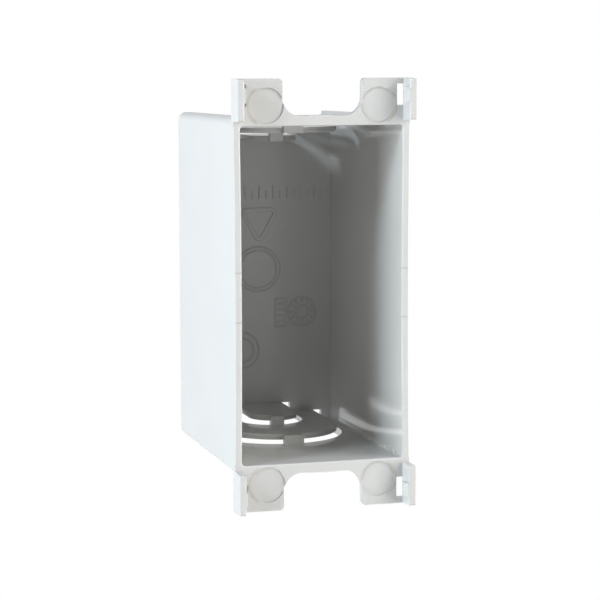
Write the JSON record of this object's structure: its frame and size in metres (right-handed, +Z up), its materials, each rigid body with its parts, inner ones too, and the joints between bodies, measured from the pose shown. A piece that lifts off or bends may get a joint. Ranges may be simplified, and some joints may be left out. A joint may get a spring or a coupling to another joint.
{
  "type": "masonry box",
  "caption": "Moulded wall box, open at the front, with a notched flange, snap hooks at its corners and stepped round knock-outs in both ends.",
  "frame": {"origin": "centre of the rear outer face", "axes": "+X to the right seen from the open front, +Y out of the rear face, into the masonry, so the box opens towards -Y, +Z up along the longer side of the opening"},
  "size_m": [0.0488, 0.0714, 0.115],
  "materials": {
    "moulding": "light grey moulded plastic with a faint satin sheen"
  },
  "bodies": {
    "root": {"masonry_box": "moulding"}
  },
  "joints": []
}
